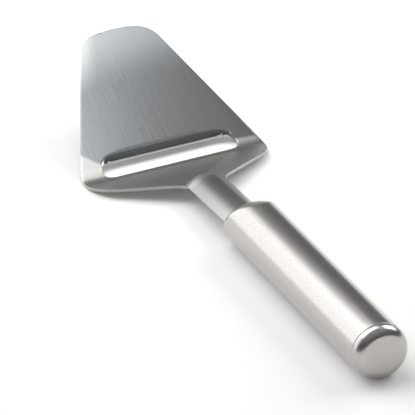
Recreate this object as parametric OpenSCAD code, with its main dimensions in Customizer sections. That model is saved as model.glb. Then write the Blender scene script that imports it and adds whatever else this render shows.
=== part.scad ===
// Cheese slicer: one bent sheet-steel blade on a hollow round handle.
// It lies on its heel and on the handle. X runs across the blade, Y from the handle to
// the front edge, and Z up from the table, with Y = 0 half way along.

/* [Overall] */
// Length from the front edge to the end of the handle
overall_l = 250; // [230:1:270]

/* [Blade sheet] */
// Thickness of the sheet
sheet_t = 1.2; // [0.8:0.1:1.6]
// Slope of the front plate, rising towards its front edge
front_pitch = 31.8; // [26:0.1:36]
// Slope of the shoulders, rising from the heel towards the neck
rear_pitch = 12.5; // [8:0.1:16]
// Slope of the neck, rising towards the handle
neck_pitch = 3.1; // [1:0.1:5]
// Radius inside the bend of the heel
heel_r = 14; // [10:0.5:16]
// Place of the heel along the slicer
heel_y = 65.8; // [62:0.1:70]
// Place where the neck starts to slope less than the shoulders
neck_y = 38.2; // [34:0.1:42]

/* [Blade outline] */
// Width between the straight sides, measured at the heel
heel_w = 81.8; // [74:0.2:88]
// Lean of the straight sides towards the front edge
side_angle = 24.1; // [20:0.1:27]
// Sweep of the rear edges, from square across
sweep_angle = 33.9; // [28:0.1:38]
// Place where the rear edges would meet on the centre line
sweep_y = 30.3; // [26:0.1:34]
// Rounding of the shoulders
shoulder_r = 18.4; // [10:0.1:20]
// Rounding of the front corners
corner_r = 10.4; // [6:0.2:12]
// Radius of the bowed front edge
bow_r = 48; // [36:1:70]

/* [Slot and cutting lip] */
// Length of the slot
slot_l = 58.4; // [50:0.1:62]
// Distance from the heel to the near edge of the slot
slot_ahead = 0.6; // [0:0.1:2]
// Distance from the heel to the fold of the lip
fold_ahead = 10.9; // [10:0.1:12]
// Width of the lip, from its fold to its cutting edge
lip_w = 2.8; // [2:0.1:3.5]
// Bend of the lip, down from the front plate
lip_bend = 25; // [15:1:35]
// Length of the cutting edge
edge_l = 51; // [44:0.5:51]
// Width of the cut that frees each end of the lip
lip_cut = 0.2; // [0.1:0.05:0.2]
// Thickness left at the cutting edge
edge_t = 0.3; // [0.2:0.05:0.5]

/* [Neck and tang] */
// Width of the neck
neck_w = 16.5; // [14:0.1:18]
// Rounding between the neck and the rear edges
neck_fillet = 5; // [3:0.5:7]
// Rise of the neck's arched section
arch_rise = 3.8; // [2.5:0.1:4.5]
// Place where the arch starts to run out into the shoulders
arch_y = 32; // [28:0.5:35]
// Width of the tang inside the handle
tang_w = 12; // [10:0.5:14]
// Length of the tang inside the handle
tang_l = 37; // [30:1:42]
// Depth to which the neck keeps its full width inside the handle
neck_in = 6; // [5:0.5:9]

/* [Handle] */
// Diameter of the handle
handle_d = 22; // [20:0.5:25]
// Wall of the handle
wall = 1.2; // [0.8:0.1:1.6]
// Place of the foremost point of the nose
nose_y = -0.5; // [-4:0.1:2]
// Drop of the domed nose's centre below the handle's axis
nose_drop = 7; // [5:0.5:8]
// Rounding of the nose's lower rim
nose_rim_r = 3; // [2:0.5:4]
// Length of the end cap's rounded head
cap_l = 5; // [4:0.5:8]
// Rounding of the end cap
cap_r = 4; // [2:0.5:4.5]
// Length of the end cap's spigot
spigot_l = 9; // [6:0.5:14]
// Length of the insert that grips the tang
insert_l = 34; // [28:1:45]
// Clearance between seated pieces
seat_gap = 0.05; // [0.02:0.01:0.15]
// Clearance around the neck in the nose
neck_gap = 0.15; // [0.05:0.05:0.3]

/* [Hidden] */
$fn = 96;

// How far cutting shapes run past what they cut
past = 40;
// How deep joined shapes run into one another
lap = 0.4;

front_y = overall_l / 2;
back_y = -overall_l / 2;
handle_r = handle_d / 2;
bore_r = handle_r - wall;
axis_z = handle_r;

// The sheet's upper face: the bend's centre, then the points where its straights begin
bend_c = [heel_y, heel_r + sheet_t];
rear_start = bend_c - heel_r * [sin(rear_pitch), cos(rear_pitch)];
front_start = bend_c + heel_r * [sin(front_pitch), -cos(front_pitch)];
neck_start = [neck_y, rear_start.y + (rear_start.x - neck_y) * tan(rear_pitch)];
tang_y = nose_y - tang_l;

// Height of the front plate's upper face at a place along the slicer
function front_z(y) = front_start.y + (y - front_start.x) * tan(front_pitch);

// A cylinder along the neck gives the arch, and a sphere on its axis ends it
arch_r = (pow(neck_w / 2, 2) + pow(arch_rise, 2)) / (2 * arch_rise);
arch_top_z = neck_start.y + (neck_y - arch_y) * tan(neck_pitch) + arch_rise;
arch_z = arch_top_z - arch_r;

// The lip in side view: its fold on the front plate and its cutting edge. Bent flat, the
// lip would end at the slot's far edge, and the slot's ends are full rounds.
fold = [heel_y + fold_ahead, front_z(heel_y + fold_ahead)];
lip_pitch = front_pitch + lip_bend;
edge = fold - lip_w * [cos(lip_pitch), sin(lip_pitch)];
slot_near = heel_y + slot_ahead;
slot_far = fold.x - lip_w * cos(lip_bend) * cos(front_pitch);
slot_r = (slot_far - slot_near) / 2;

// The dome of the nose all but touches the top of the handle
nose_r = handle_r + nose_drop + lap;
nose_z = axis_z - nose_drop;
dome_y = nose_y - nose_r;

// Outline, right half: where the straight lines cross
side_dir = [-sin(side_angle), cos(side_angle)];
side_out = [cos(side_angle), sin(side_angle)];
side_point = [heel_w / 2, heel_y];
rear_out = [sin(sweep_angle), -cos(sweep_angle)];
neck_corner = [neck_w / 2, sweep_y + neck_w / 2 * tan(sweep_angle)];

// Centre of a circle that touches two lines, each given by a point and its outward side
function touching(p, out_p, q, out_q) =
    let (a = p * out_p, b = q * out_q, det = out_p.x * out_q.y - out_p.y * out_q.x)
    [(a * out_q.y - b * out_p.y) / det, (b * out_p.x - a * out_q.x) / det];

shoulder_c = touching(side_point - shoulder_r * side_out, side_out,
                      neck_corner - shoulder_r * rear_out, rear_out);
fillet_c = touching([neck_w / 2 + neck_fillet, 0], [1, 0],
                    neck_corner + neck_fillet * rear_out, rear_out);

// The front corner's circle touches the side and lies inside the bow's circle
bow_c = [0, front_y - bow_r];
corner_in = (side_point - bow_c) * side_out - corner_r;
corner_up = sqrt(pow(bow_r - corner_r, 2) - pow(corner_in, 2));
corner_c = bow_c + corner_in * side_out + corner_up * side_dir;
bow_end = bow_c + (corner_c - bow_c) * bow_r / (bow_r - corner_r);

// Half outline from the tang to the end of the bow, with a chord across each rounding
half_outline = [
    [tang_w / 2, tang_y],
    [tang_w / 2, nose_y - neck_in],
    [neck_w / 2, nose_y - neck_in],
    [neck_w / 2, fillet_c.y],
    fillet_c - neck_fillet * rear_out,
    shoulder_c + shoulder_r * rear_out,
    shoulder_c + shoulder_r * side_out,
    corner_c + corner_r * side_out,
    bow_end
];

// Points along an arc between two directions
function arc(centre, r, from, to, steps = 12) =
    [for (i = [0:steps]) let (a = from + (to - from) * i / steps) centre + r * [cos(a), sin(a)]];

function mirrored(points) = [for (i = [len(points) - 1:-1:0]) [-points[i].x, points[i].y]];

// Turns a side view drawn in Y and Z into a solid across the slicer
module across(width) {
    rotate([90, 0, 90])
        linear_extrude(width, center = true)
            children();
}

// Lays a turned piece, drawn along Z, on the handle's axis
module on_handle(y) {
    translate([0, y, axis_z])
        rotate([-90, 0, 0])
            children();
}

// Copies a shape to the other side of the centre line
module both_sides() {
    children();
    mirror([1, 0, 0])
        children();
}

// Plan of the blade and its tang
module blade_plan() {
    difference() {
        union() {
            polygon(concat(half_outline, mirrored(half_outline)));
            both_sides() {
                translate(shoulder_c)
                    circle(shoulder_r);
                translate(corner_c)
                    circle(corner_r);
            }
            intersection() {
                translate(bow_c)
                    circle(bow_r);
                translate([-past, bow_end.y - lap])
                    square([2 * past, past]);
            }
        }
        both_sides()
            translate(fillet_c)
                circle(neck_fillet);
    }
}

// Side view of the sheet without its arch: neck, shoulders, heel and front plate
module sheet_side() {
    under_front = sheet_t * [sin(front_pitch), -cos(front_pitch)];
    under_neck = -sheet_t * [sin(neck_pitch), cos(neck_pitch)];
    half_turn = (rear_pitch - neck_pitch) / 2;
    mitre = -sheet_t / cos(half_turn) * [sin(neck_pitch + half_turn), cos(neck_pitch + half_turn)];
    neck_end = neck_start + (neck_y - tang_y + past) * [-cos(neck_pitch), sin(neck_pitch)];
    front_end = front_start + front_y * [cos(front_pitch), sin(front_pitch)];
    polygon(concat(
        [neck_end, neck_start],
        arc(bend_c, heel_r, 270 - rear_pitch, 270 + front_pitch),
        [front_end, front_end + under_front],
        arc(bend_c, heel_r + sheet_t, 270 + front_pitch, 270 - rear_pitch),
        [neck_start + mitre, neck_end + under_neck]
    ));
}

// The arch as a round bar with a domed end, grown or shrunk by a step
module arch_bar(step) {
    bar_r = arch_r + step;
    bar_l = arch_y - tang_y + past;
    translate([0, arch_y, arch_z])
        rotate([-90 - neck_pitch, 0, 0])
            rotate_extrude() {
                translate([0, -bar_l])
                    square([bar_r, bar_l]);
                intersection() {
                    circle(bar_r);
                    square(bar_r);
                }
            }
}

// Everything above the middle of the sheet in the neck and shoulders
module above_sheet() {
    back = neck_y - tang_y + past;
    across(neck_w + past)
        polygon([
            neck_start + [-back, back * tan(neck_pitch) - sheet_t / 2],
            neck_start - [0, sheet_t / 2],
            rear_start - [0, sheet_t / 2],
            rear_start + [0, past],
            neck_start + [-back, past]
        ]);
}

// Plan of the slot, with the room that the bent lip leaves
module slot_plan() {
    straight_l = slot_l - 2 * slot_r;
    room_l = edge_l + 2 * lip_cut;
    translate([0, slot_near + slot_r]) {
        square([straight_l, 2 * slot_r], center = true);
        both_sides()
            translate([straight_l / 2, 0])
                circle(slot_r);
        translate([-room_l / 2, 0])
            square([room_l, fold.x - slot_near - slot_r]);
    }
}

// The lip along the far side of the slot, ground thin towards its cutting edge
module lip() {
    down_plate = sheet_t * [sin(front_pitch), -cos(front_pitch)];
    down_edge = edge_t * [sin(lip_pitch), -cos(lip_pitch)];
    into_plate = lap * [cos(front_pitch), sin(front_pitch)];
    across(edge_l)
        polygon([
            fold + into_plate,
            fold,
            edge,
            edge + down_edge,
            fold + down_plate,
            fold + down_plate + into_plate
        ]);
}

module blade() {
    color("silver") {
        difference() {
            intersection() {
                linear_extrude(2 * past, center = true)
                    blade_plan();
                union() {
                    across(heel_w + past)
                        sheet_side();
                    intersection() {
                        arch_bar(0);
                        above_sheet();
                    }
                }
            }
            arch_bar(-sheet_t);
            linear_extrude(past)
                slot_plan();
        }
        lip();
    }
}

// Inside or outside of the handle: a bar with a rounded front rim, cut back by the dome
module nosed_bar(bar_r, dome_r, rim_r) {
    intersection() {
        on_handle(dome_y)
            rotate_extrude() {
                square([bar_r, dome_r - rim_r]);
                square([bar_r - rim_r, dome_r]);
                translate([bar_r - rim_r, dome_r - rim_r])
                    circle(rim_r);
            }
        translate([0, dome_y, nose_z])
            sphere(dome_r);
    }
    on_handle(back_y + cap_l)
        cylinder(r = bar_r, h = dome_y - back_y - cap_l);
}

// The arched section of the neck with room around it
module neck_room(width, room) {
    intersection() {
        difference() {
            arch_bar(room);
            arch_bar(-sheet_t - room);
        }
        translate([-width / 2 - room, back_y, 0])
            cube([width + 2 * room, arch_y - back_y, overall_l]);
        translate([0, 0, -room])
            above_sheet();
    }
}

module handle_tube() {
    color("gainsboro")
        difference() {
            nosed_bar(handle_r, nose_r, nose_rim_r);
            nosed_bar(bore_r, nose_r - wall, nose_rim_r - wall);
            on_handle(back_y)
                cylinder(r = bore_r, h = cap_l + lap);
            neck_room(neck_w, neck_gap);
        }
}

module tang_insert() {
    color("dimgray")
        difference() {
            on_handle(dome_y - insert_l)
                cylinder(r = bore_r - seat_gap, h = insert_l);
            neck_room(tang_w, seat_gap);
        }
}

module end_cap() {
    seat_r = bore_r - seat_gap;
    color("gainsboro")
        on_handle(back_y)
            rotate_extrude()
                difference() {
                    union() {
                        translate([0, cap_r])
                            square([handle_r, cap_l - cap_r]);
                        square([handle_r - cap_r, cap_l]);
                        translate([handle_r - cap_r, cap_r])
                            intersection() {
                                circle(cap_r);
                                translate([0, -cap_r])
                                    square(cap_r);
                            }
                        square([seat_r, cap_l + spigot_l]);
                    }
                    translate([0, cap_l - wall])
                        square([seat_r - wall, spigot_l + past]);
                }
}

blade();
handle_tube();
tang_insert();
end_cap();
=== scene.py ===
import math

import bmesh
import bpy
import numpy as np
from mathutils import Matrix, Vector


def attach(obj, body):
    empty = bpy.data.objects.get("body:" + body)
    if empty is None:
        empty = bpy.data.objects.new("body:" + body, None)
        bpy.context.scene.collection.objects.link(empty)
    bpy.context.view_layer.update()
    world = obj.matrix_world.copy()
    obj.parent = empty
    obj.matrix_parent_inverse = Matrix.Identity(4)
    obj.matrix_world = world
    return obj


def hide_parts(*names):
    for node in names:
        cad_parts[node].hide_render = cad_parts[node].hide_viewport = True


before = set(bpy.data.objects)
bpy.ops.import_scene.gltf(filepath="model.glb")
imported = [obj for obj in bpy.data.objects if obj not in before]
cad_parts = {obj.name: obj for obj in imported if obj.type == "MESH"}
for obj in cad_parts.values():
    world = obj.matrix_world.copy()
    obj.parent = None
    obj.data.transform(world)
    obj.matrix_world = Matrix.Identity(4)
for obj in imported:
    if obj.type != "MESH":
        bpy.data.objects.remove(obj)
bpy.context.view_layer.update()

# Millimetres are the working unit for shapes, and metres the frame's own
MM = 0.001

# Blade sheet: thickness, slopes of its three flats, heel bend, start of the neck, rounded edges
SHEET_T = 1.2
FRONT_PITCH = math.radians(31.8)
REAR_PITCH = math.radians(12.5)
NECK_PITCH = math.radians(3.1)
HEEL_R = 14.0
HEEL_Y = 65.8
NECK_Y = 38.2
EDGE_ROUND = 0.25

# Blade outline
FRONT_Y = 125.0
HEEL_W = 81.8
SIDE_ANGLE = math.radians(24.1)
SWEEP_ANGLE = math.radians(33.9)
SWEEP_Y = 30.3
SHOULDER_R = 18.4
CORNER_R = 10.4
BOW_R = 48.0

# Slot and cutting lip: the slot has full round ends, and its far side is bent down
SLOT_L = 58.4
SLOT_NEAR = HEEL_Y + 0.6
FOLD_Y = HEEL_Y + 10.9
LIP_W = 2.8
LIP_BEND = math.radians(25)
LIP_PLAN = LIP_W * math.cos(LIP_BEND) * math.cos(FRONT_PITCH)
LIP_DROP = LIP_W * math.sin(LIP_BEND)
SLOT_FAR = FOLD_Y - LIP_PLAN
SLOT_R = (SLOT_FAR - SLOT_NEAR) / 2
SLOT_MID = SLOT_NEAR + SLOT_R
SLOT_STRAIGHT = SLOT_L / 2 - SLOT_R

# The fold's softness as a share of the lip, in the middle and at the slot's ends, and its fade
FOLD_SOFT = 1.1
END_SOFT = 0.3
SOFT_FADE = 16.0

# The lip starts and is full at these lengths of edge from the slot's end, and fades while narrow
LIP_START = 1.5
LIP_FULL = 9.0
END_SHARE = 0.4

# Ground cutting edge: thickness, and the drop and width of its facet
EDGE_T = 0.2
FACET_DROP = 0.4
FACET_PLAN = 0.08

# Neck and tang, with the softness where the arch meets the sheet and where the sheet bends
NECK_W = 16.5
NECK_FILLET = 5.0
ARCH_RISE = 3.8
ARCH_Y = 32.0
TANG_W = 12.0
TANG_L = 37.0
TANG_STEP = 0.5
NECK_IN = 6.0
NECK_SOFT = 0.4
HUMP_SOFT = 1.0
HUMP_FADE = 6.0
BEND_SOFT = 0.25

# Handle tube, and the oblique dome of its nose with the softness of their blend
HANDLE_R = 11.0
WALL = 1.2
NOSE_Y = -0.5
NOSE_DROP = 7.0
NOSE_R = HANDLE_R + NOSE_DROP
NOSE_SOFT = 3.0
LEAST_SOFT = 0.001

# The nose's skin is sought along rays that start behind the dome and reach well past it
NOSE_ROOT = 6.0
NOSE_REACH = 2.5 * NOSE_R

# End cap, and the rounded edges where it meets the tube
BACK_Y = -125.0
CAP_L = 5.0
CAP_R = 4.0
CAP_FIT = 0.05
CAP_HUB = 0.4
SPIGOT_L = 9.0
SEAM = 0.25
SEAM_MID = 0.3 * SEAM

# Mesh fineness of the blade: cells across the slot and beside it, where the first is narrower
MID_CELLS = 48
SIDE_CELLS = 14
SIDE_START = 0.4

# Rows along each stretch of the blade, and the stretch before and after the dome of the neck
TANG_ROWS = 6
NECK_ROWS = 14
HUMP_ROWS = 34
HUMP_BEFORE = 4.0
HUMP_AFTER = 2.0
SHOULDER_ROWS = 8
HEEL_ROWS = 25
SLOT_ROWS = 25
LIP_ROWS = 18
PLATE_ROWS = 14

# Least distances between rows, digits that tell two rows apart, and steps round each arc
ROW_GAP = 0.03
ROW_CLEAR = 0.1
ROW_DIGITS = 4
FILLET_STEPS = 10
SHOULDER_STEPS = 20
CORNER_STEPS = 10
EDGE_STEPS = 3

# Mesh fineness of the handle: steps round one turn, rings, and halvings to find the nose's skin
TURN_STEPS = 144
TUBE_RINGS = 24
TUBE_CLEAR = 2.0
NOSE_RINGS = 60
NOSE_LEAN = math.radians(88.5)
HALVINGS = 40
CAP_RINGS = 8
CAP_STEPS = 12

# Finishes and painted light of the blade: where along the slicer each starts and is full, where the
# neck's painted shade becomes darkest, and half the width of the facet's band
FRONT_FADE = (101.0, FRONT_Y)
HEEL_FADE = (68.0, 60.0)
NECK_FADE = (37.0, 29.0)
NECK_DARK_Y = 24.0
FACET_BAND = 0.2

# The brushing starts on the bend along a slanting line, which climbs at the left margin
PLATE_FADE = (71.9, 73.9)
BRUSH_SLANT = 0.055
MARGIN_X = -29.0
MARGIN_CLIMB = 0.75

# Zones of painted light with a border that leans: the lean, and where across the slicer each
# starts and is full
SHOULDER_LEAN = 1.1
SHOULDER_FADE = (-46.7, -43.7)
GREY_LEAN = 0.8
GREY_FADE = (-90.0, -46.0)
SIDE_LEAN = math.tan(SIDE_ANGLE)
SIDE_FADE = (-62.0, -70.0)

# Photograph: side of the square frame, a sighted pixel with its point on the handle's axis, and
# the camera's scale, distance and turns
FRAME_PX = 415
SIGHT_PX = (253.07, 222.29)
SIGHT_POINT = Vector((0.0, -10.17, 11.0)) * MM
PX_PER_MM = 2.6017
CAMERA_MM = 1712.8
CAMERA_AZIMUTH = math.radians(-23.413)
CAMERA_HEIGHT = math.radians(28.668)
CAMERA_ROLL = math.radians(-2.361)
CAMERA_FAR = 100.0
SENSOR_MM = 36.0

# Light: softboxes as centre, aim, width, length and radiance, in metres
OVERHEAD_BRIGHT = ((-0.16, 0.21, 0.5), (-0.16, 0.21, 0), 0.6, 0.46, 1.9)
OVERHEAD_DIM = ((0.175, 0.18, 0.5), (0.175, 0.18, 0), 0.07, 0.64, 0.45)
RIGHT_BOX = ((0.6, 0.08, 0.48), (0.0, 0.02, 0.0), 0.48, 0.48, 3.6)

# The room's radiance on five sides, and the white floor's lift and half width
ROOM_LEFT = 1.85
ROOM_RIGHT = 0.17
ROOM_BACK = 0.13
ROOM_TOP = 0.22
ROOM_FRONT = 0.22
FLOOR_LIFT = 0.08
FLOOR_HALF = 3.0

# Where the room's sides start and are full, along the unit direction's axes
WALLS_Y = (-0.1, 0.75)
LEFT_X = (0.14, -0.3)
TOP_Z = (0.3, 0.9)
FRONT_END_Y = (0.8, 0.93)


# Shapes of the sheet

def unit(angle):
    return np.array([math.cos(angle), math.sin(angle)])


def arc(centre, radius, start, end, steps):
    """Points along an arc between two directions, both ends included."""
    return [centre + radius * unit(a) for a in np.linspace(start, end, steps + 1)]


def touching(out_p, reach_p, out_q, reach_q):
    """The point that lies a reach along each of two outward directions."""
    return np.linalg.solve([out_p, out_q], [reach_p, reach_q])


def soft_max(a, b, k):
    """The larger of two values, with a rounded change-over k wide."""
    h = np.clip(0.5 + 0.5 * (a - b) / k, 0, 1)
    return b + (a - b) * h + k * h * (1 - h)


def smooth_step(t):
    t = np.clip(t, 0, 1)
    return t * t * (3 - 2 * t)


side_out = unit(SIDE_ANGLE)
rear_out = unit(SWEEP_ANGLE - math.pi / 2)
side_reach = np.array([HEEL_W / 2, HEEL_Y]) @ side_out
rear_reach = np.array([0, SWEEP_Y]) @ rear_out
shoulder_c = touching(side_out, side_reach - SHOULDER_R, rear_out, rear_reach - SHOULDER_R)
fillet_c = touching(unit(0), NECK_W / 2 + NECK_FILLET, rear_out, rear_reach + NECK_FILLET)
bow_c = np.array([0, FRONT_Y - BOW_R])
corner_in = side_reach - bow_c @ side_out - CORNER_R
corner_up = math.sqrt((BOW_R - CORNER_R) ** 2 - corner_in ** 2)
corner_c = bow_c + corner_in * side_out + corner_up * unit(SIDE_ANGLE + math.pi / 2)
bow_from = math.atan2(corner_c[1] - bow_c[1], corner_c[0] - bow_c[0])
tang_y = NOSE_Y - TANG_L
neck_back = NOSE_Y - NECK_IN

bend_z = HEEL_R + SHEET_T
rear_y = HEEL_Y - HEEL_R * math.sin(REAR_PITCH)
rear_z = bend_z - HEEL_R * math.cos(REAR_PITCH)
front_y = HEEL_Y + HEEL_R * math.sin(FRONT_PITCH)
front_z = bend_z - HEEL_R * math.cos(FRONT_PITCH)
neck_z = rear_z + (rear_y - NECK_Y) * math.tan(REAR_PITCH)
arch_r = ((NECK_W / 2) ** 2 + ARCH_RISE ** 2) / (2 * ARCH_RISE)
arch_z = neck_z + (NECK_Y - ARCH_Y) * math.tan(NECK_PITCH) + ARCH_RISE - arch_r


def flat_height(y):
    """Upper face of the sheet along its centre plane, without the arch of the neck."""
    neck = neck_z + (NECK_Y - y) * math.tan(NECK_PITCH)
    rear = rear_z + (rear_y - y) * math.tan(REAR_PITCH)
    front = front_z + (y - front_y) * math.tan(FRONT_PITCH)
    across = np.clip(y - HEEL_Y, rear_y - HEEL_Y, front_y - HEEL_Y)
    heel = bend_z - np.sqrt(HEEL_R ** 2 - across ** 2)
    straight = -soft_max(-neck, -rear, BEND_SOFT)
    return np.where(y < rear_y, straight, np.where(y > front_y, front, heel))


def arch_height(x, y):
    """Upper face of the arched neck, which ends in a dome on the shoulders."""
    ahead = np.maximum(y - ARCH_Y, 0)
    behind = np.maximum(ARCH_Y - y, 0)
    level = arch_z + behind * math.tan(NECK_PITCH)
    return level + np.sqrt(np.maximum(arch_r ** 2 - x ** 2 - ahead ** 2, 0))


def sheet_height(x, y):
    """Upper face of the whole sheet apart from the lip."""
    on_hump = smooth_step((y - fillet_c[1]) / HUMP_FADE + 0.5)
    softness = NECK_SOFT + (HUMP_SOFT - NECK_SOFT) * on_hump
    return soft_max(arch_height(x, y), flat_height(y), softness)


def lip_shape(x, y):
    """Drop of the bent lip square to the front plate, its share of grinding, and the drop of the
    ground facet at the edge. The lip runs along the slot's far side and narrows round its ends."""
    past = np.maximum(abs(x) - SLOT_STRAIGHT, 0)
    beyond = np.hypot(past, y - SLOT_MID) - SLOT_R
    from_end = SLOT_R * np.arctan2(y - SLOT_MID, past) + np.maximum(SLOT_STRAIGHT - abs(x), 0)
    width = smooth_step((from_end - LIP_START) / (LIP_FULL - LIP_START))
    inside = width - beyond / LIP_PLAN
    share = np.where(y > SLOT_MID, smooth_step(width / END_SHARE), 0)
    to_middle = smooth_step((SLOT_L / 2 - abs(x)) / SOFT_FADE)
    bend = LIP_DROP * soft_max(inside, 0, END_SOFT + (FOLD_SOFT - END_SOFT) * to_middle)
    ground = smooth_step(inside)
    facet = ground * FACET_DROP * np.clip(1 - beyond / FACET_PLAN, 0, 1)
    return share * bend, share * ground, share * facet


# Pieces

def new_piece(name, bm, material, node):
    """Turns a mesh in millimetres into a piece that stands for a node and rides with the slicer."""
    bmesh.ops.recalc_face_normals(bm, faces=bm.faces)
    bmesh.ops.scale(bm, vec=(MM, MM, MM), verts=bm.verts)
    mesh = bpy.data.meshes.new(name)
    bm.to_mesh(mesh)
    bm.free()
    mesh.polygons.foreach_set("use_smooth", [True] * len(mesh.polygons))
    mesh.materials.append(material)
    piece = bpy.data.objects.new(name, mesh)
    bpy.context.scene.collection.objects.link(piece)
    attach(piece, "root")
    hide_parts(node)
    return piece


def shade_flats(piece):
    """Keeps the large faces flat under smooth shading."""
    piece.modifiers.new("flat_shading", "WEIGHTED_NORMAL").keep_sharp = True


def outline_rows():
    """Half widths of the blade from the tang to the end of the bow, as rising (y, x) pairs."""
    right = [
        np.array([TANG_W / 2, tang_y]),
        np.array([TANG_W / 2, neck_back - TANG_STEP]),
        np.array([NECK_W / 2, neck_back]),
    ]
    right += arc(fillet_c, NECK_FILLET, math.pi, math.pi / 2 + SWEEP_ANGLE, FILLET_STEPS)
    right += arc(shoulder_c, SHOULDER_R, SWEEP_ANGLE - math.pi / 2, SIDE_ANGLE, SHOULDER_STEPS)
    right += arc(corner_c, CORNER_R, SIDE_ANGLE, bow_from, CORNER_STEPS)
    return np.array(right)[:, ::-1]


def slot_half(y):
    """Half length of the slot at a place along the slicer."""
    return SLOT_STRAIGHT + np.sqrt(np.maximum(SLOT_R ** 2 - (y - SLOT_MID) ** 2, 0))


def spread(mid_half, half):
    """Places across one row: even cells over the slot's length, and cells that widen beside it."""
    mid = np.linspace(-mid_half, mid_half, MID_CELLS + 1)
    step = np.linspace(0, 1, SIDE_CELLS + 1)[1:]
    side = mid_half + (half - mid_half) * step * (SIDE_START + (1 - SIDE_START) * step)
    return np.concatenate([-side[::-1], mid, side])


def straight_rows(outline):
    """Places along the slicer where the sheet has a row of points, up to the fold of the lip."""
    hump_start = ARCH_Y - HUMP_BEFORE
    hump_end = ARCH_Y + arch_r + HUMP_AFTER
    fold_end = SLOT_FAR + LIP_PLAN * (1 + FOLD_SOFT)
    stretches = (
        (tang_y, neck_back, TANG_ROWS),
        (neck_back, hump_start, NECK_ROWS),
        (hump_start, hump_end, HUMP_ROWS),
        (hump_end, rear_y, SHOULDER_ROWS),
        (rear_y, front_y, HEEL_ROWS),
        (SLOT_FAR + FACET_PLAN, fold_end, LIP_ROWS),
    )
    round_slot = SLOT_MID - SLOT_R * np.cos(np.linspace(0, math.pi, SLOT_ROWS))
    evenly = [np.linspace(*stretch) for stretch in stretches]
    rows = np.concatenate([outline[:, 0], round_slot, *evenly])
    rows = np.unique(np.round(rows[rows <= fold_end], ROW_DIGITS))

    # Rows too close to the one before are dropped, apart from the slot's two sides
    clear = np.diff(rows, prepend=-np.inf) > ROW_GAP
    return rows[clear | np.isin(rows, np.round([SLOT_NEAR, SLOT_FAR], ROW_DIGITS))]


def blade_grid():
    """Upper face of the blade as rows of points, the sheet's thickness there, and the rows where
    the slot starts and ends."""
    outline = outline_rows()
    rows = straight_rows(outline)
    near_row = int(np.argmin(abs(rows - SLOT_NEAR)))
    far_row = int(np.argmin(abs(rows - SLOT_FAR)))
    even = MID_CELLS / (MID_CELLS + 2 * SIDE_CELLS)
    points = []
    thickness = []

    def add_row(x, y):
        drop, ground, facet = lip_shape(x, y)
        z = sheet_height(x, y) - drop * math.cos(FRONT_PITCH) - facet
        points.append(np.stack([x, y + drop * math.sin(FRONT_PITCH), z], axis=1))
        thickness.append(SHEET_T + (EDGE_T - SHEET_T) * ground)

    # Rows straight across, from the tang to the fold of the lip
    at_slot = SLOT_STRAIGHT / np.interp(SLOT_NEAR, outline[:, 0], outline[:, 1])
    for y in rows:
        half = np.interp(y, outline[:, 0], outline[:, 1])
        if y < SLOT_NEAR:
            share = even + (at_slot - even) * smooth_step((y - ARCH_Y) / (SLOT_NEAR - ARCH_Y))
            x = spread(share * half, half)
        else:
            x = spread(slot_half(y), half)
        add_row(x, np.full_like(x, y))

    # Rows of the front plate, which bow more and more towards the front edge
    top_y = rows[-1]
    ahead = outline[outline[:, 0] > top_y + ROW_CLEAR]
    flat = np.linspace(top_y, ahead[0, 0], PLATE_ROWS)[1:-1]
    flat_half = np.interp(flat, outline[:, 0], outline[:, 1])
    edge = np.concatenate([np.stack([flat, flat_half], axis=1), ahead])
    bow_x = edge[-1, 1]
    start_share = SLOT_STRAIGHT / np.interp(top_y, outline[:, 0], outline[:, 1])
    for y, half in edge:
        run = (y - top_y) / (edge[-1, 0] - top_y)
        x = spread((start_share + (even - start_share) * run) * half, half)
        sag = np.sqrt(BOW_R ** 2 - (x / half * bow_x) ** 2) - math.sqrt(BOW_R ** 2 - bow_x ** 2)
        add_row(x, y + run ** 2 * sag)
    return np.array(points), np.array(thickness), near_row, far_row


def make_blade(material):
    """The blade: one sheet with its slot, lip, heel, shoulders, arched neck and tang."""
    points, thickness, near_row, far_row = blade_grid()
    bm = bmesh.new()
    depth = bm.verts.layers.float.new("depth")
    uv_layer = bm.loops.layers.uv.new("sheet")
    weight = bm.edges.layers.float.new("bevel_weight_edge")
    slot_cells = range(SIDE_CELLS, SIDE_CELLS + MID_CELLS)
    grid = []
    for row, sheet in zip(points, thickness):
        grid.append([bm.verts.new(p) for p in row])
        for vert, t in zip(grid[-1], sheet):
            vert[depth] = t
    for i in range(len(grid) - 1):
        for j in range(len(grid[i]) - 1):
            if near_row <= i < far_row and j in slot_cells:
                continue
            bm.faces.new((grid[i][j], grid[i][j + 1], grid[i + 1][j + 1], grid[i + 1][j]))
    bmesh.ops.delete(bm, geom=[v for v in bm.verts if not v.link_faces], context="VERTS")
    bm.normal_update()

    # The underside follows the upper face, each point along a line half-way between plumb and
    # square to the sheet, and a wall joins them round the outline and the slot
    upper_faces = list(bm.faces)
    rim = [e for e in bm.edges if e.is_boundary]
    under = {}
    for vert in list(bm.verts):
        lean = Vector((vert.normal.x / 2, vert.normal.y / 2, vert.normal.z)).normalized()
        drop = vert[depth] / lean.dot(vert.normal)
        under[vert] = bm.verts.new(vert.co - lean * drop)
        under[vert][depth] = vert[depth]
    for face in upper_faces:
        bm.faces.new([under[v] for v in reversed(face.verts)])
    for edge in rim:
        a, b = edge.verts
        bm.faces.new((a, b, under[b], under[a]))
        sharpness = min(a[depth], b[depth]) / SHEET_T
        edge[weight] = sharpness
        bm.edges.get((under[a], under[b]))[weight] = sharpness
    for face in bm.faces:
        for loop in face.loops:
            loop[uv_layer].uv = loop.vert.co.xy / HEEL_W
    piece = new_piece("blade_sheet", bm, material, "blade")

    # Sheared and tumbled edges
    bevel = piece.modifiers.new("edge_rounding", "BEVEL")
    bevel.limit_method = "WEIGHT"
    bevel.width = EDGE_ROUND * MM
    bevel.segments = EDGE_STEPS
    bevel.use_clamp_overlap = False
    shade_flats(piece)


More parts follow.
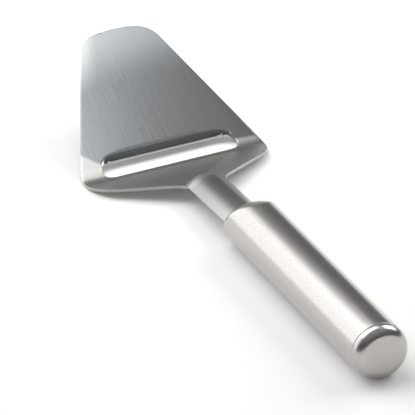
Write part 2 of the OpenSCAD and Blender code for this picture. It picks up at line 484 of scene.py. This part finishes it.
def turned(rings):
    """A closed skin over rings of points, each as long as the last."""
    bm = bmesh.new()
    rows = [[bm.verts.new(p) for p in points] for points in rings]
    for a, b in zip(rows, rows[1:]):
        for j in range(len(a)):
            k = (j + 1) % len(a)
            bm.faces.new((a[j], a[k], b[k], b[j]))
    bm.faces.new(rows[0])
    bm.faces.new(rows[-1])
    return bm


def ring(y, radius):
    """One ring of points round the handle's axis."""
    turn = np.linspace(0, 2 * math.pi, TURN_STEPS, endpoint=False)
    x = radius * np.sin(turn)
    z = HANDLE_R + radius * np.cos(turn)
    return np.stack([x, np.full_like(x, y), z], axis=1)


def nose_ring(base_y, lean):
    """Points where rays that lean forward from the axis leave the nose. The tube and the dome
    blend more softly where they meet more steeply."""
    turn = np.linspace(0, 2 * math.pi, TURN_STEPS, endpoint=False)
    ray = np.stack([
        math.cos(lean) * np.sin(turn),
        np.full(TURN_STEPS, math.sin(lean)),
        math.cos(lean) * np.cos(turn),
    ], axis=1)
    start = np.array([0, base_y, HANDLE_R])
    dome_c = np.array([0, NOSE_Y - NOSE_R, HANDLE_R - NOSE_DROP])
    low = np.zeros(TURN_STEPS)
    high = np.full(TURN_STEPS, NOSE_REACH)
    for _ in range(HALVINGS):
        middle = (low + high) / 2
        p = start + ray * middle[:, None]
        out_tube = p * [1, 0, 1] - [0, 0, HANDLE_R]
        out_dome = p - dome_c
        out_dome[:, 1] = np.maximum(out_dome[:, 1], 0)
        tube_d = np.linalg.norm(out_tube, axis=1)
        dome_d = np.linalg.norm(out_dome, axis=1)
        same_way = (out_tube * out_dome).sum(axis=1) / (tube_d * dome_d)
        softness = np.maximum(NOSE_SOFT * (1 - same_way), LEAST_SOFT)
        outside = soft_max(tube_d - HANDLE_R, dome_d - NOSE_R, softness) > 0
        high = np.where(outside, middle, high)
        low = np.where(outside, low, middle)
    return start + ray * low[:, None]


def make_handle(material):
    """The handle: a drawn tube with a domed nose, open at its rear end."""
    base_y = NOSE_Y - NOSE_R - NOSE_ROOT
    end_y = BACK_Y + CAP_L
    bore = HANDLE_R - WALL
    rings = [ring(base_y, bore), ring(end_y + SEAM, bore), ring(end_y, bore + SEAM)]
    rings += [ring(end_y, HANDLE_R - SEAM), ring(end_y + SEAM_MID, HANDLE_R - SEAM_MID)]
    straight = np.linspace(end_y + SEAM, base_y - TUBE_CLEAR, TUBE_RINGS)
    rings += [ring(y, HANDLE_R) for y in straight]
    rings += [nose_ring(base_y, lean) for lean in np.linspace(0, NOSE_LEAN, NOSE_RINGS)]
    shade_flats(new_piece("handle_shell", turned(rings), material, "handle_tube"))


def make_end_cap(material):
    """The end cap: a rounded head and a spigot that sits in the tube."""
    head_y = BACK_Y + CAP_L
    spigot_y = head_y + SPIGOT_L
    seat = HANDLE_R - WALL - CAP_FIT
    flat_r = HANDLE_R - CAP_R
    rings = [ring(BACK_Y, r) for r in np.linspace(CAP_HUB, flat_r, CAP_RINGS)]
    for a in np.linspace(0, math.pi / 2, CAP_STEPS + 1)[1:]:
        rings.append(ring(BACK_Y + CAP_R * (1 - math.cos(a)), flat_r + CAP_R * math.sin(a)))
    rings += [ring(head_y - SEAM, HANDLE_R), ring(head_y - SEAM_MID, HANDLE_R - SEAM_MID)]
    rings += [ring(head_y, HANDLE_R - SEAM), ring(head_y, seat), ring(spigot_y, seat)]
    rings += [ring(spigot_y, seat - WALL), ring(head_y - WALL, seat - WALL)]
    shade_flats(new_piece("end_cap_head", turned(rings), material, "end_cap"))


# Materials

def colour(hex_colour):
    """An sRGB hex colour as the linear values that Blender works in, fully opaque."""
    parts = [int(hex_colour[i:i + 2], 16) / 255 for i in (1, 3, 5)]
    linear = [c / 12.92 if c <= 0.04045 else ((c + 0.055) / 1.055) ** 2.4 for c in parts]
    return (*linear, 1.0)


def add(tree, kind, inputs=None, **settings):
    """Adds a node with its settings, and sets or links its inputs by name or number."""
    node = tree.nodes.new(kind)
    for key, value in settings.items():
        setattr(node, key, value)
    for key, value in (inputs or {}).items():
        if isinstance(value, bpy.types.NodeSocket):
            tree.links.new(value, node.inputs[key])
        else:
            node.inputs[key].default_value = value
    return node


def new_material(name):
    """An empty material, its tree and its output node."""
    material = bpy.data.materials.new(name)
    material.use_nodes = True
    material.node_tree.nodes.clear()
    return material, material.node_tree, add(material.node_tree, "ShaderNodeOutputMaterial")


def blade_zones(tree, place):
    """How far each finish and each zone of painted light on the blade holds at a point, from 0 to 1.
    """
    axes = add(tree, "ShaderNodeSeparateXYZ", {"Vector": place}).outputs
    x = axes["X"]
    y = axes["Y"]
    slant = add(tree, "ShaderNodeMath", {0: x, 1: BRUSH_SLANT, 2: y}, operation="MULTIPLY_ADD")
    margin = add(tree, "ShaderNodeMath", {0: x, 1: MARGIN_X * MM}, operation="SUBTRACT")
    margin = add(tree, "ShaderNodeMath", {0: margin.outputs[0], 1: 0.0}, operation="MINIMUM")
    brushing = add(tree, "ShaderNodeMath", {
        0: margin.outputs[0], 1: MARGIN_CLIMB, 2: slant.outputs[0]}, operation="MULTIPLY_ADD")
    # The three leaning borders mark only painted light: a painted reflection on the right shoulder,
    # painted shade on the right of the plate and a painted highlight at its front left corner
    shoulder, grey, side = [
        add(tree, "ShaderNodeMath", {0: y, 1: -lean, 2: x}, operation="MULTIPLY_ADD").outputs[0]
        for lean in (SHOULDER_LEAN, GREY_LEAN, SIDE_LEAN)
    ]
    borders = {
        "plate": (brushing.outputs[0], PLATE_FADE),
        "front": (y, FRONT_FADE),
        "behind_heel": (y, HEEL_FADE),
        "neck": (y, NECK_FADE),
        "highlit_right_shoulder": (shoulder, SHOULDER_FADE),
        "shaded_plate_right": (grey, GREY_FADE),
        "left_side": (side, SIDE_FADE),
    }
    zones = {}
    for name, (value, (start, full)) in borders.items():
        zones[name] = add(tree, "ShaderNodeMapRange", {
            "Value": value, "From Min": start * MM, "From Max": full * MM},
            interpolation_type="SMOOTHSTEP").outputs[0]
    # Painted shade that darkens along the neck towards the blade
    zones["along_neck"] = add(tree, "ShaderNodeMapRange", {
        "Value": y, "From Min": 0.0, "From Max": NECK_DARK_Y * MM}).outputs[0]
    zones["highlit_front_left"] = add(tree, "ShaderNodeMath", {
        0: zones["left_side"], 1: zones["front"]}, operation="MULTIPLY").outputs[0]

    # The facet is a narrow band along the straight part of the lip's edge
    edge_y = SLOT_FAR + LIP_DROP * math.sin(FRONT_PITCH)
    on_edge = add(tree, "ShaderNodeMath", {
        0: y, 1: edge_y * MM, 2: FACET_BAND * MM}, operation="COMPARE")
    on_lip = add(tree, "ShaderNodeMath", {
        0: x, 1: 0.0, 2: SLOT_STRAIGHT * MM}, operation="COMPARE")
    zones["facet"] = add(tree, "ShaderNodeMath", {
        0: on_edge.outputs[0], 1: on_lip.outputs[0]}, operation="MULTIPLY").outputs[0]
    return zones


def blade_tone(tree, zones, lines):
    """Colour of the blade's steel, with each finish and each zone of painted light laid over
    the ones before it.
    """
    # The second pair of tones is greyer and darker, painted shade for the right of the plate
    brushed, shaded_grey = [
        add(tree, "ShaderNodeMix", {
            0: lines, 6: colour(dark), 7: colour(light)}, data_type="RGBA").outputs[2]
        for dark, light in (("#808588", "#92979A"), ("#7D7D7B", "#8E8E8C"))
    ]
    # The neck is painted darker towards the blade, painted shade
    neck = add(tree, "ShaderNodeMix", {
        0: zones["along_neck"], 6: colour("#A6A5A3"), 7: colour("#959492")}, data_type="RGBA")

    # The brushed plate is painted greyer and darker to the right, painted shade, and paler at the
    # front and palest at its left corner, painted highlight
    plate = brushed
    for zone, over in (
        ("shaded_plate_right", shaded_grey),
        ("front", colour("#B4B8BA")),
        ("highlit_front_left", colour("#D2D2D1")),
    ):
        plate = add(tree, "ShaderNodeMix", {
            0: zones[zone], 6: plate, 7: over}, data_type="RGBA").outputs[2]

    # The heel is painted paler than the rest behind the slot, a painted highlight, and the right
    # shoulder paler again, a painted reflection of the bright room past the plate's edge. The neck
    # is painted darker towards the blade, painted shade, and the ground facet at the cutting edge is
    # painted near white, a painted highlight along the edge
    tone = colour("#BEBDBA")
    for zone, over in (
        ("behind_heel", colour("#A4A3A0")),
        ("highlit_right_shoulder", colour("#BAB9B7")),
        ("neck", neck.outputs[2]),
        ("plate", plate),
        ("facet", colour("#F0F0EE")),
    ):
        tone = add(tree, "ShaderNodeMix", {
            0: zones[zone], 6: tone, 7: over}, data_type="RGBA").outputs[2]
    return tone


def blade_roughness(tree, zones):
    """Roughness of the blade: the polish is soft, the brushing coarsest in front, the facet dull."""
    plate, rough = [
        add(tree, "ShaderNodeMapRange", {
            "Value": zones[zone], "To Min": fine, "To Max": coarse}).outputs[0]
        for zone, fine, coarse in (("front", 0.14, 0.2), ("behind_heel", 0.26, 0.36))
    ]
    for zone, over in (("neck", 0.28), ("plate", plate), ("facet", 0.6)):
        rough = add(tree, "ShaderNodeMix", {0: zones[zone], 2: rough, 3: over}).outputs[0]
    return rough


def brushed_stainless():
    """Stainless sheet, brushed along its length on the front plate and softly polished behind it.
    The brushing draws reflections out across the plate, and the polished part mirrors it dimly."""
    material, tree, out = new_material("brushed_stainless_sheet")
    place = add(tree, "ShaderNodeTexCoord").outputs["Object"]
    zones = blade_zones(tree, place)

    # Brush lines are about 0.1 mm wide, drawn 0.4 mm wide so that they show at this size
    line_w = 0.4 * MM
    line_l = 22 * MM
    line_depth = 0.05 * MM
    stretch = add(tree, "ShaderNodeMapping", {
        "Vector": place, "Scale": (1 / line_w, 1 / line_l, 1 / line_l)})
    lines = add(tree, "ShaderNodeTexNoise", {
        "Vector": stretch.outputs[0], "Scale": 1.0, "Detail": 3.0, "Roughness": 0.6}).outputs["Fac"]
    height = add(tree, "ShaderNodeMath", {0: lines, 1: zones["plate"]}, operation="MULTIPLY")
    bump = add(tree, "ShaderNodeBump", {
        "Height": height.outputs[0], "Strength": 0.25, "Distance": line_depth})
    tangent = add(tree, "ShaderNodeTangent", direction_type="UV_MAP", uv_map="sheet")
    steel = add(tree, "ShaderNodeBsdfPrincipled", {
        "Base Color": blade_tone(tree, zones, lines),
        "Metallic": 1.0,
        "Roughness": blade_roughness(tree, zones),
        "Anisotropic": 0.6,
        "Tangent": tangent.outputs[0],
        "Normal": bump.outputs[0],
    })
    tree.links.new(steel.outputs[0], out.inputs["Surface"])
    return material


def satin_stainless():
    """Drawn stainless tube, blasted to a satin: a soft sheen with a very fine grain."""
    material, tree, out = new_material("satin_stainless_tube")
    place = add(tree, "ShaderNodeTexCoord").outputs["Object"]

    # Blasting leaves pits of about 0.1 mm, drawn 0.5 mm wide so that they show at this size
    grit = 0.5 * MM
    grit_depth = 0.03 * MM
    grain = add(tree, "ShaderNodeTexNoise", {
        "Vector": place, "Scale": 1 / grit, "Detail": 2.0}).outputs["Fac"]
    tone = add(tree, "ShaderNodeMix", {
        0: grain, 6: colour("#A6A4A1"), 7: colour("#CFCDCA")}, data_type="RGBA")
    rough = add(tree, "ShaderNodeMapRange", {
        "Value": grain, "To Min": 0.2, "To Max": 0.27})
    bump = add(tree, "ShaderNodeBump", {
        "Height": grain, "Strength": 0.1, "Distance": grit_depth})
    steel = add(tree, "ShaderNodeBsdfPrincipled", {
        "Base Color": tone.outputs[2],
        "Metallic": 1.0,
        "Roughness": rough.outputs[0],
        "Normal": bump.outputs[0],
    })
    tree.links.new(steel.outputs[0], out.inputs["Surface"])
    return material


def moulded_nylon():
    """Black glass-filled nylon, moulded: dull, with a faint mottle."""
    material, tree, out = new_material("moulded_nylon")
    place = add(tree, "ShaderNodeTexCoord").outputs["Object"]
    mottle_w = 1.5 * MM
    mottle = add(tree, "ShaderNodeTexNoise", {
        "Vector": place, "Scale": 1 / mottle_w, "Detail": 4.0})
    rough = add(tree, "ShaderNodeMapRange", {
        "Value": mottle.outputs["Fac"], "To Min": 0.45, "To Max": 0.65})
    nylon = add(tree, "ShaderNodeBsdfPrincipled", {
        "Base Color": colour("#1E1E1F"), "Roughness": rough.outputs[0], "IOR": 1.53})
    tree.links.new(nylon.outputs[0], out.inputs["Surface"])
    return material


def white_card():
    """Matt white card under the slicer, lifted to plain white where it is seen or mirrored."""
    material, tree, out = new_material("matt_white_card")
    card = add(tree, "ShaderNodeBsdfDiffuse", {"Color": colour("#F7F6F5")})
    ray = add(tree, "ShaderNodeLightPath").outputs
    seen = ray["Is Camera Ray"]
    for kind in ("Is Glossy Ray", "Is Transmission Ray"):
        seen = add(tree, "ShaderNodeMath", {0: seen, 1: ray[kind]}, operation="MAXIMUM").outputs[0]
    lift = add(tree, "ShaderNodeMath", {0: seen, 1: FLOOR_LIFT}, operation="MULTIPLY")
    glow = add(tree, "ShaderNodeEmission", {"Strength": lift.outputs[0]})
    both = add(tree, "ShaderNodeAddShader", {0: card.outputs[0], 1: glow.outputs[0]})
    tree.links.new(both.outputs[0], out.inputs["Surface"])
    return material


# Stage

def make_camera():
    """The camera at the photograph's place, with its lens and its off-centre frame."""
    back = Vector((
        math.sin(CAMERA_AZIMUTH) * math.cos(CAMERA_HEIGHT),
        -math.cos(CAMERA_AZIMUTH) * math.cos(CAMERA_HEIGHT),
        math.sin(CAMERA_HEIGHT),
    ))
    level = Vector((math.cos(CAMERA_AZIMUTH), math.sin(CAMERA_AZIMUTH), 0))
    upright = back.cross(level)
    right = level * math.cos(CAMERA_ROLL) + upright * math.sin(CAMERA_ROLL)
    up = upright * math.cos(CAMERA_ROLL) - level * math.sin(CAMERA_ROLL)
    data = bpy.data.cameras.new("camera")
    data.sensor_width = SENSOR_MM
    data.lens = PX_PER_MM * CAMERA_MM * SENSOR_MM / FRAME_PX
    data.shift_x = (FRAME_PX / 2 - SIGHT_PX[0]) / FRAME_PX
    data.shift_y = (SIGHT_PX[1] - FRAME_PX / 2) / FRAME_PX
    data.clip_end = CAMERA_FAR
    camera = bpy.data.objects.new("camera", data)
    turn = Matrix((right, up, back)).transposed().to_4x4()
    camera.matrix_world = Matrix.Translation(SIGHT_POINT + back * CAMERA_MM * MM) @ turn
    bpy.context.scene.collection.objects.link(camera)
    bpy.context.scene.camera = camera


def make_floor(material):
    """A wide card floor that the slicer lies on."""
    corners = [(FLOOR_HALF * x, FLOOR_HALF * y, 0) for x, y in ((-1, -1), (1, -1), (1, 1), (-1, 1))]
    mesh = bpy.data.meshes.new("floor")
    mesh.from_pydata(corners, [], [(0, 1, 2, 3)])
    mesh.materials.append(material)
    floor = bpy.data.objects.new("floor", mesh)
    bpy.context.scene.collection.objects.link(floor)


def make_softbox(name, centre, aim, width, length, radiance):
    """A rectangular softbox that faces a point."""
    data = bpy.data.lights.new(name, "AREA")
    data.shape = "RECTANGLE"
    data.size = width
    data.size_y = length
    data.energy = radiance * math.pi * width * length
    lamp = bpy.data.objects.new(name, data)
    lamp.location = centre
    lamp.rotation_euler = (Vector(aim) - Vector(centre)).to_track_quat("-Z", "Y").to_euler()
    bpy.context.scene.collection.objects.link(lamp)


def make_room():
    """A room with a bright left wall, a dim right one and darkness behind the camera."""
    world = bpy.data.worlds.new("room")
    world.use_nodes = True
    tree = world.node_tree
    tree.nodes.clear()
    out = add(tree, "ShaderNodeOutputWorld")
    place = add(tree, "ShaderNodeTexCoord").outputs["Generated"]
    way = add(tree, "ShaderNodeSeparateXYZ", {"Vector": place}).outputs
    ahead, wall, top, front = [
        add(tree, "ShaderNodeMapRange", {
            "Value": way[axis], "From Min": start, "From Max": full, "To Min": low, "To Max": high},
            interpolation_type="SMOOTHSTEP").outputs[0]
        for axis, (start, full), low, high in (
            ("Y", WALLS_Y, 0.0, 1.0),
            ("X", LEFT_X, ROOM_RIGHT - ROOM_BACK, ROOM_LEFT - ROOM_BACK),
            ("Z", TOP_Z, 0.0, ROOM_TOP),
            ("Y", FRONT_END_Y, 0.0, ROOM_FRONT),
        )
    ]
    level = add(tree, "ShaderNodeMath", {
        0: ahead, 1: wall, 2: ROOM_BACK}, operation="MULTIPLY_ADD").outputs[0]
    for more in (top, front):
        level = add(tree, "ShaderNodeMath", {0: level, 1: more}, operation="ADD").outputs[0]
    light = add(tree, "ShaderNodeBackground", {"Color": colour("#FFFFFF"), "Strength": level})
    tree.links.new(light.outputs[0], out.inputs["Surface"])
    bpy.context.scene.world = world


make_camera()
make_blade(brushed_stainless())
handle_steel = satin_stainless()
make_handle(handle_steel)
make_end_cap(handle_steel)
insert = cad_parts["tang_insert"]
insert.data.materials.clear()
insert.data.materials.append(moulded_nylon())
make_floor(white_card())
make_softbox("overhead_bright", *OVERHEAD_BRIGHT)
make_softbox("overhead_dim", *OVERHEAD_DIM)
make_softbox("right_box", *RIGHT_BOX)
make_room()

bpy.context.scene.view_settings.view_transform = "Standard"
